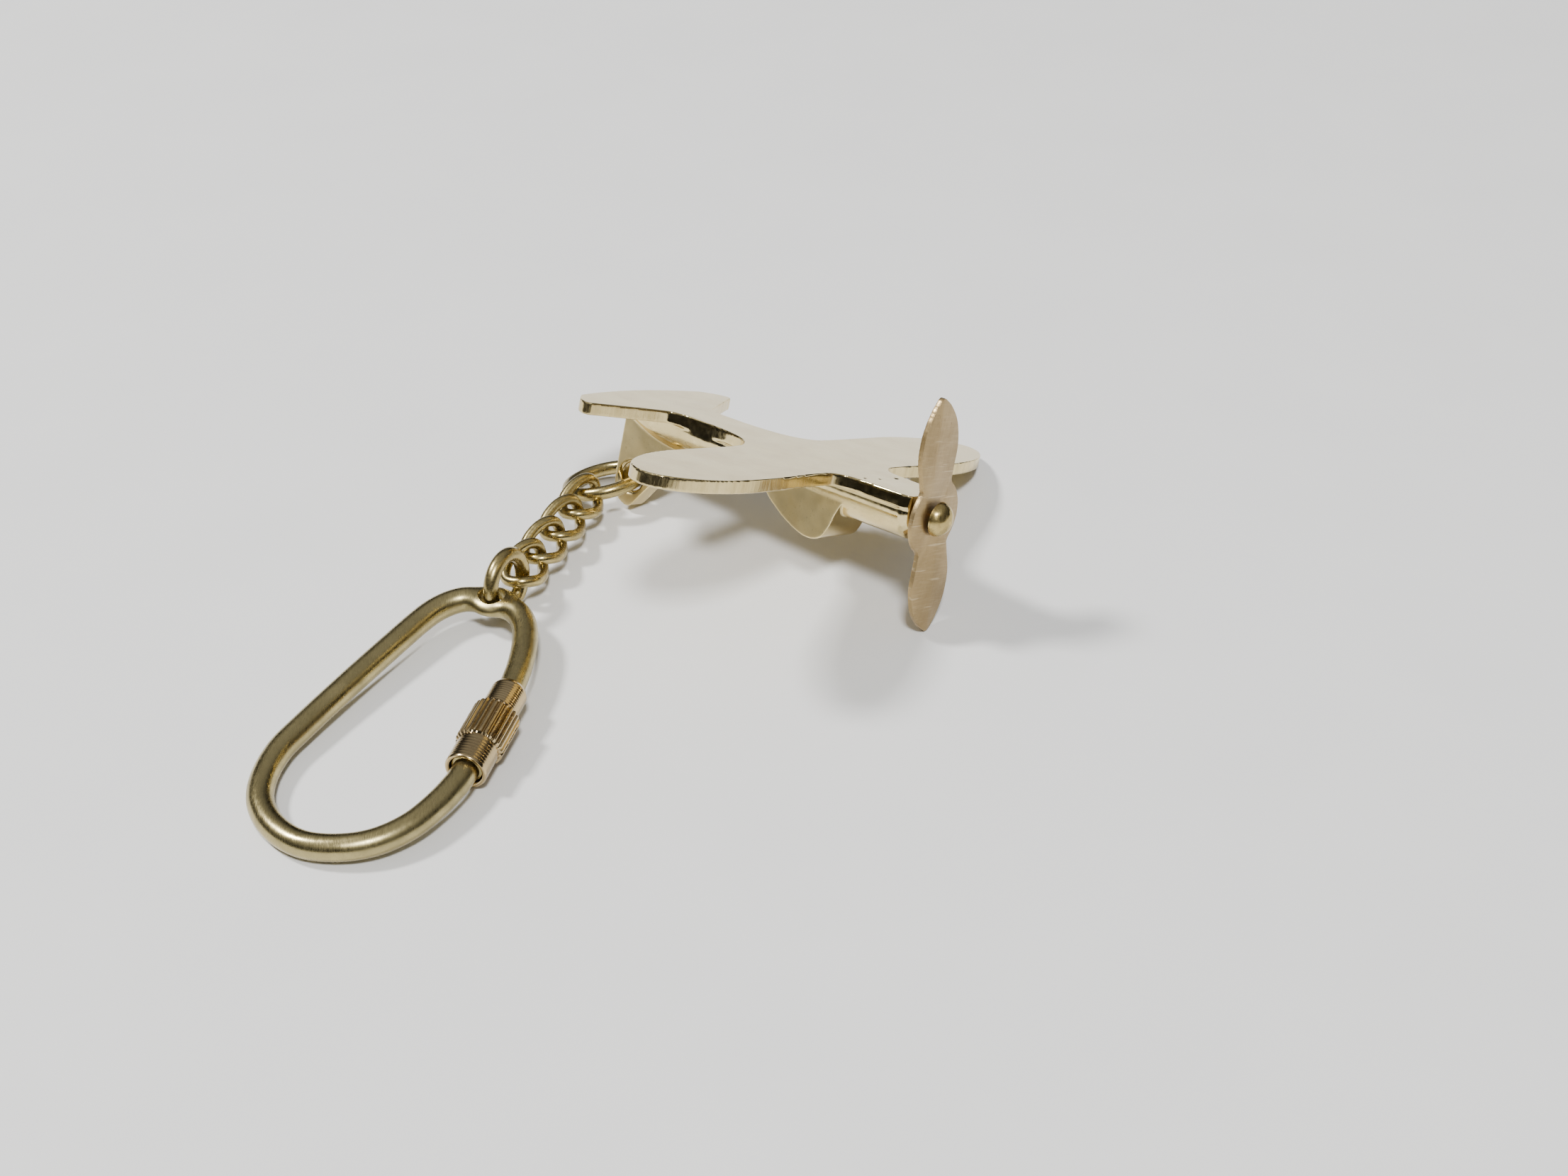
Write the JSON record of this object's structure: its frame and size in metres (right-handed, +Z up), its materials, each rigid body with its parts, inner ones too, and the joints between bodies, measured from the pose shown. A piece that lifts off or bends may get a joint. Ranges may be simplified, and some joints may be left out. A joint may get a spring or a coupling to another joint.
{
  "type": "key chain",
  "caption": "Toy aeroplane of solid brass with a turning propeller, on a curb chain with a screw-lock key ring.",
  "frame": {"origin": "middle of the bounding box in plan, on the table that the key chain lies on", "axes": "+Z up from the table, +X from the key ring towards the propeller, +Y away from the viewer; the aeroplane lies on its back, belly up"},
  "size_m": [0.0689, 0.0666, 0.0245],
  "materials": {
    "cast_brass": "polished cast brass",
    "sheet_brass": "scratched matte brass sheet",
    "rivet_brass": "hammered bright brass",
    "wire_brass": "satin brass wire",
    "ring_brass": "satin, worn brass",
    "turned_brass": "turned and polished brass"
  },
  "bodies": {
    "airframe": {"airframe": "cast_brass", "propeller_rivet": "rivet_brass"},
    "propeller": {"propeller": "sheet_brass"},
    "jump_ring": {"jump_ring": "wire_brass"},
    "chain_link_1": {"chain_link_1": "wire_brass"},
    "chain_link_2": {"chain_link_2": "wire_brass"},
    "chain_link_3": {"chain_link_3": "wire_brass"},
    "chain_link_4": {"chain_link_4": "wire_brass"},
    "shackle_ring": {"shackle_ring": "wire_brass"},
    "key_ring": {"key_ring": "ring_brass"},
    "lock_sleeve": {"lock_sleeve": "turned_brass"}
  },
  "joints": [
    {"name": "propeller_spin", "type": "hinge", "parent": "airframe", "child": "propeller", "pos_m": [0.02761, 0.00238, 0.01217], "axis": [0.7859, -0.614, 0.0738], "continuous": true},
    {"name": "jump_ring_swing", "type": "hinge", "parent": "airframe", "child": "jump_ring", "pos_m": [-0.00225, 0.02211, 0.00335], "axis": [-0.5836, -0.6968, 0.417], "range_deg": [-30, 30]},
    {"name": "link_1_swing", "type": "hinge", "parent": "jump_ring", "child": "chain_link_1", "pos_m": [-0.0072, 0.01912, 0.00304], "axis": [-0.9007, 0.3309, -0.2816], "range_deg": [-40, 40]},
    {"name": "link_2_swing", "type": "hinge", "parent": "chain_link_1", "child": "chain_link_2", "pos_m": [-0.0087, 0.01558, 0.00302], "axis": [0.9149, -0.3743, 0.1513], "range_deg": [-18, 18]},
    {"name": "link_3_swing", "type": "hinge", "parent": "chain_link_2", "child": "chain_link_3", "pos_m": [-0.01027, 0.01174, 0.00301], "axis": [0.9149, -0.3743, 0.1513], "range_deg": [-18, 18]},
    {"name": "link_4_swing", "type": "hinge", "parent": "chain_link_3", "child": "chain_link_4", "pos_m": [-0.01184, 0.0079, 0.003], "axis": [0.9149, -0.3743, 0.1513], "range_deg": [-18, 18]},
    {"name": "shackle_swing", "type": "hinge", "parent": "chain_link_4", "child": "shackle_ring", "pos_m": [-0.01341, 0.00406, 0.003], "axis": [0.9149, -0.3743, 0.1513], "range_deg": [-40, 40]},
    {"name": "key_ring_turn", "type": "hinge", "parent": "shackle_ring", "child": "key_ring", "pos_m": [-0.01512, 0.00082, 0.00299], "axis": [-0.0498, -0.0292, 0.9983], "range_deg": [-45, 40]},
    {"name": "sleeve_turn", "type": "hinge", "parent": "key_ring", "child": "lock_sleeve", "pos_m": [-0.01199, -0.01227, 0.00277], "axis": [-0.2732, -0.9611, -0.0417], "range_deg": [0, 1080]}
  ]
}
